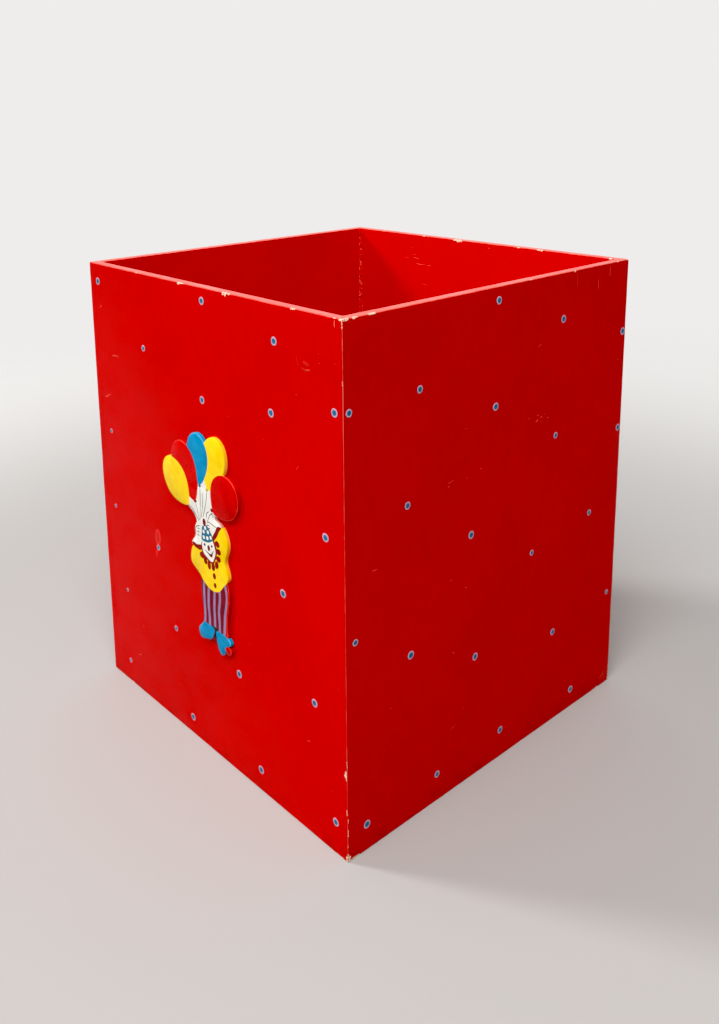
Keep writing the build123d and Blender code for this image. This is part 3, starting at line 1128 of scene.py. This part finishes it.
def bead_mesh(name, rng):
    """The uneven run of filler and paint up an inside corner."""
    side_x = -1 if name.endswith("left") else 1
    side_y = 1 if name.startswith("back") else -1
    corner = Vector((side_x * INNER, side_y * INNER, 0)) * (FACE / HALF)
    along_x, along_y = Vector((-side_x, 0, 0)), Vector((0, -side_y, 0))
    lumps = []
    z = BOARD + 4
    while z < HEIGHT - 2:
        lumps.append((z, rng.uniform(0.2, 0.75), rng.uniform(0.7, 1.8)))
        z += rng.uniform(2.2, 7.0)
    reach_x, reach_y = BEAD_REACH[name]
    bm = bmesh.new()
    rows = []
    levels = np.arange(BOARD - 0.3, HEIGHT - EDGE_ROUND, BEAD_STEP)
    for z in levels:
        swell = sum(h * math.exp(-(((z - c) / w) ** 2)) for c, h, w in lumps)
        thick = 0.62 + 0.12 * noise.noise(Vector((z / 9, reach_x, 3))) + 0.55 * swell
        wide = 1 + 0.25 * noise.noise(Vector((z / 5, 7, reach_y))) + 0.25 * swell
        a, b = reach_x * wide, reach_y * wide
        row = [bm.verts.new(corner - (along_x + along_y) * 0.3 + Vector((0, 0, z)))]
        for i in range(9):
            angle = math.pi / 2 * i / 8
            chord = a * b / (b * math.cos(angle) + a * math.sin(angle))
            middle = math.sin(2 * angle)
            r = chord * (1 - middle) + chord * thick * middle
            spot = corner + along_x * (r * math.cos(angle)) + along_y * (r * math.sin(angle))
            if i == 0:
                spot -= along_y * 0.15
            if i == 8:
                spot -= along_x * 0.15
            row.append(bm.verts.new(spot + Vector((0, 0, z))))
        rows.append(row)
    bridge(bm, rows)
    close_ends(bm, rows)
    return mesh_from(bm, "corner_bead_" + name)


def build_beads(paint):
    rng = random.Random(3)
    for name in BEAD_REACH:
        piece("corner_bead_" + name, bead_mesh(name, rng), (paint,), sharp_deg=60)


# Rubs and scratches on each outer face: the line in millimetres, then its half width
SCUFFS = {
    "front": [
        ([(24, 239.6), (28.5, 240.4), (33, 240.2)], 0.3),
        ([(11, 208.6), (14, 209.6), (16.4, 211)], 0.3), ([(14.5, 210.8), (19.4, 211.8)], 0.22),
        ([(218.4, 269.9), (221, 269.4), (225.6, 270.3)], 0.16),
        ([(221.4, 273.2), (223.2, 272.8)], 0.2), ([(232.2, 280.4), (232.4, 279.4)], 0.22),
        ([(232.2, 275.1), (233.4, 275.2)], 0.25), ([(244.2, 277.4), (244.6, 276.4)], 0.2),
        ([(213.9, 254.9), (215, 254.9)], 0.25), ([(217.6, 57.2), (220.4, 57.8)], 0.3),
        ([(36, 26), (40, 28.5)], 0.2), ([(244.4, 299), (244.2, 296.8), (244.4, 294.8)], 0.35),
    ],
    "right": [
        ([(157, 216.4), (158.6, 215.9)], 0.4), ([(160.2, 214.6), (162.2, 214)], 0.5),
        ([(155.4, 212.2), (157.2, 212.9), (158.2, 213.8)], 0.45),
        ([(166.8, 212.8), (168.4, 212.2)], 0.35), ([(148.8, 216.8), (149.3, 215.2)], 0.3),
        ([(159.6, 211.8), (161, 211.4)], 0.3), ([(164, 215.6), (165.2, 215.2)], 0.25),
        ([(93, 195.2), (93.8, 193.6)], 0.35), ([(104.8, 197), (106.2, 196)], 0.4),
        ([(91, 223.7), (92.4, 223.5)], 0.25), ([(125, 211.2), (126, 211)], 0.25),
        ([(136, 194.4), (137, 194.2)], 0.25), ([(77, 193), (79.2, 193.8)], 0.25),
        ([(79.6, 136), (82.6, 136.8)], 0.35), ([(92.8, 127.6), (95.4, 126.8)], 0.25),
        ([(93, 50.2), (94.8, 49.6)], 0.3), ([(193.2, 298), (193.6, 293), (193.4, 288.6)], 0.2),
        ([(216, 291.2), (216.3, 284.8)], 0.18), ([(228.4, 298.6), (228.7, 291.4)], 0.18),
        ([(241.6, 6.4), (243.8, 9)], 0.25), ([(238.8, 5), (241.4, 7.6)], 0.25),
    ],
    "back": [([(61, 143), (68, 139), (77, 138)], 0.3), ([(64, 147), (73, 143)], 0.2)],
    "left": [([(151, 222), (158, 226), (166, 227.5)], 0.3), ([(155, 219), (161, 222)], 0.2)],
}
# The same on the back wall's inner face
INSIDE_SCUFFS = [
    ([(61.5, 289.7), (66, 289.7)], 0.3), ([(66, 282), (72.4, 281.5)], 0.36),
    ([(69, 277.5), (74, 277.2), (79.2, 277.4)], 0.5), ([(80.6, 277.2), (85.4, 277.3)], 0.35),
    ([(64, 284.6), (70, 284.2)], 0.16), ([(58, 281.4), (62.5, 281.2)], 0.14),
    ([(139.9, 296.8), (142.6, 296.1)], 0.4),
    ([(217.4, 298.2), (219.4, 297.4), (220.4, 295.8)], 0.5),
    ([(221.8, 298), (224.5, 296.7), (226.6, 296.9)], 0.5), ([(213.2, 298.6), (214.6, 298.2)], 0.4),
    ([(204.6, 298.4), (206.8, 298)], 0.3), ([(75, 262), (83, 261.6)], 0.14),
]


RANDOM_MARKS = {"front": 12, "right": 16, "back": 34, "left": 30}


def random_marks(rng, count):
    """Small nicks and short scratches anywhere on a face."""
    marks = []
    for _ in range(count):
        x, y = rng.uniform(6, 244), rng.uniform(8, 292)
        length = rng.uniform(0.5, 1.4) if rng.random() < 0.7 else rng.uniform(2.5, 7.0)
        turn = rng.gauss(0, 0.5)
        end = (x + length * math.cos(turn), y + length * math.sin(turn))
        marks.append(([(x, y), end], rng.uniform(0.14, 0.3)))
    return marks


def build_scuffs(paint):
    height, sink, taper = 0.03, 0.25, 0.15
    rng = random.Random(29)
    groups = []
    for side, lines in SCUFFS.items():
        marks = lines + random_marks(rng, RANDOM_MARKS[side])
        groups.append(("scuffs_" + side, partial(on_face, side), marks))
    groups.append(("inner_scuffs_back", inside_back, INSIDE_SCUFFS))
    for name, place, lines in groups:
        bm = bmesh.new()
        for points, half_width in lines:
            stroke(bm, place, curve_through(points, 0.8), half_width, height, sink, 0, taper)
        piece(name, mesh_from(bm, name), (paint,), sharp_deg=70)


SMEARS = [
    ((70.2, 126.2), (3.3, 5.8), -6), ((67.9, 114.2), (1.2, 2.3), 4), ((45, 52), (0.9, 0.9), 0),
]
# Faint rubs near the front's top right corner: the line, then its half width
FAINT_RUBS = [
    ([(215.4, 275.6), (216, 272.8), (217.4, 270.4)], 0.8),
    ([(220.2, 273.6), (222.6, 272.8), (225.2, 272.2)], 1),
    ([(218.2, 270.2), (222, 269.2), (226.4, 269.8)], 0.6), ([(229.2, 278.8), (229.3, 276.2)], 0.5),
]


def build_smear(edge, middle):
    """Where a wet dot was smudged: a thin blister above it and a touch below."""
    blister, rub, sink = 0.07, 0.06, 0.2
    place = partial(on_face, "front")
    bm = bmesh.new()
    for centre, size, tilt in SMEARS:
        dab(bm, place, ellipse(centre, size, tilt, 26), blister, sink, 0, DOT_PROFILE, DOT_CORE)
    for points, half_width in FAINT_RUBS:
        stroke(bm, place, curve_through(points, 0.8), half_width, rub, sink, 1, 0.5)
    mesh = mesh_from(bm, "smear_front")
    piece("smear_front", mesh, (edge, middle), sharp_deg=75)


# The studio


CAMERA_TURN_DEG = (49.18, 11.78, -0.952)  # azimuth, downward pitch and roll
CAMERA_PLACE = (0.45217, -0.42383, 0.39948)
CAMERA_LENS = 33.65
CAMERA_SHIFT = (0.04254, -0.2019)


def build_camera():
    azimuth, pitch, roll = (math.radians(a) for a in CAMERA_TURN_DEG)
    ahead = math.cos(pitch)
    forward = Vector((-math.sin(azimuth) * ahead, math.cos(azimuth) * ahead, -math.sin(pitch)))
    level = Vector((math.cos(azimuth), math.sin(azimuth), 0))
    above = level.cross(forward)
    right = level * math.cos(roll) + above * math.sin(roll)
    up = above * math.cos(roll) - level * math.sin(roll)
    camera = link("camera", bpy.data.cameras.new("camera"))
    turn = Matrix((right, up, -forward)).transposed()
    camera.matrix_world = Matrix.Translation(CAMERA_PLACE) @ turn.to_4x4()
    camera.data.sensor_width = 36
    camera.data.lens = CAMERA_LENS
    camera.data.shift_x, camera.data.shift_y = CAMERA_SHIFT
    camera.data.clip_start = 0.01
    bpy.context.scene.camera = camera


def build_world():
    """A soft even studio, brightest behind the part."""
    world = bpy.data.worlds.new("studio")
    bpy.context.scene.world = world
    world.use_nodes = True
    tree = world.node_tree
    background = tree.nodes["Background"]
    direction = tree.nodes.new("ShaderNodeTexCoord").outputs["Generated"]
    behind = tree.nodes.new("ShaderNodeVectorMath")
    behind.operation = "DOT_PRODUCT"
    tree.links.new(direction, behind.inputs[0])
    behind.inputs[1].default_value = (-0.757, 0.653, 0)
    spread = tree.nodes.new("ShaderNodeMapRange")
    spread.interpolation_type = "SMOOTHSTEP"
    tree.links.new(behind.outputs["Value"], spread.inputs["Value"])
    for name, number in zip(RANGE_SOCKETS, (0.3, 0.85, 0.38, 0.86)):
        spread.inputs[name].default_value = number
    tree.links.new(spread.outputs[0], background.inputs["Strength"])
    background.inputs["Color"].default_value = (1.0, 0.985, 0.975, 1)


# Soft lamps: where each is, how wide and how strong
LAMPS = {
    "key": ((-0.6, -3.3, 1.9), 2.2, 8),
    "side": ((-5.0, -3.3, 4.35), 1.4, 280),
    "overhead": ((0.5, -0.7, 1.8), 1.0, 31),
}


LAMP_AIM = Vector((0, 0, 0.15))


def build_lamps():
    for name, (place, width, power) in LAMPS.items():
        lamp = bpy.data.lights.new(name, "AREA")
        lamp.shape = "DISK"
        lamp.size = width
        lamp.energy = power
        lamp.color = (1.0, 0.98, 0.95)
        spot = Vector(place)
        turn = (LAMP_AIM - spot).to_track_quat("-Z", "Y").to_matrix().to_4x4()
        link(name, lamp).matrix_world = Matrix.Translation(spot) @ turn


def build_floor():
    """A pale floor, painted darker near the part as painted shade, that fades into the studio light
    far out.
    """
    bm = bmesh.new()
    bmesh.ops.create_circle(bm, cap_ends=True, segments=96, radius=4.0)
    mesh = bpy.data.meshes.new("floor")
    bm.to_mesh(mesh)
    bm.free()
    floor = link("floor", mesh)
    paint = Paint("floor", 0.85, Specular_IOR_Level=0.1)
    far = paint.add("ShaderNodeVectorMath", operation="LENGTH")
    paint.join(paint.position, far.inputs[0])
    # Darker near the part and paler far out: painted shade on the floor around the part.
    away_from_shade = paint.ramp(far.outputs["Value"], 0.3, 1.0)
    paint.colour(paint.mix(away_from_shade, (0.44, 0.437, 0.433), (0.76, 0.755, 0.75)))
    fade = paint.ramp(far.outputs["Value"], 0.4, 1.3)
    clear = paint.add("ShaderNodeBsdfTransparent")
    blend = paint.add("ShaderNodeMixShader")
    paint.join(fade, blend.inputs[0])
    paint.join(paint.shader.outputs["BSDF"], blend.inputs[1])
    paint.join(clear.outputs[0], blend.inputs[2])
    output = next(n for n in paint.tree.nodes if n.type == "OUTPUT_MATERIAL")
    paint.join(blend.outputs[0], output.inputs["Surface"])
    mesh.materials.append(paint.material)


def main():
    steel_paint = steel()
    red = red_enamel("red_enamel", 1.15, 0.32, (0.57, 0.0012, 0.0009), (0.61, 0.0015, 0.0011), 1.11)
    # The rim's paint is paler and pinker than the faces: a painted reflection of the bright studio
    # along the rim, and paint rubbed paler.
    rim = red_enamel("red_enamel_rim_rub_and_sheen", 1.5, 0.2, (0.79, 0.05, 0.037), (0.86, 0.10, 0.073))
    core = bare_board()
    build_boards(red, core, rim)
    ring = gloss_paint("dot_edge", (0.42, 0.34, 0.47), (0.52, 0.43, 0.57))
    blue = gloss_paint("dot_blue", (0.012, 0.115, 0.23), (0.024, 0.15, 0.29))
    build_dots(ring, blue)
    build_plaque()
    # The bead's paint drifts to pale pink in small patches: painted highlights on its lumps, and
    # worn paint.
    build_beads(gloss_paint("bead_red", (0.64, 0.003, 0.002), (0.82, 0.13, 0.10), 0.34, 2.2, 0.50))
    rubbed = gloss_paint("rubbed_red", (0.80, 0.07, 0.05), (0.90, 0.19, 0.14), 0.45)
    build_scuffs(rubbed)
    smeared = gloss_paint("smeared_red", (0.72, 0.022, 0.016), (0.80, 0.045, 0.032), 0.4)
    build_smear(smeared, gloss_paint("thin_red", (0.58, 0.010, 0.007), (0.66, 0.022, 0.015)))
    for name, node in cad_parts.items():
        if name.endswith("_pins"):
            node.data.materials.clear()
            node.data.materials.append(steel_paint)
    build_world()
    build_lamps()
    build_floor()
    build_camera()
    view = bpy.context.scene.view_settings
    view.view_transform = "Standard"
    view.use_curve_mapping = True
    view.curve_mapping.black_level = (BLACK, BLACK, BLACK)


main()
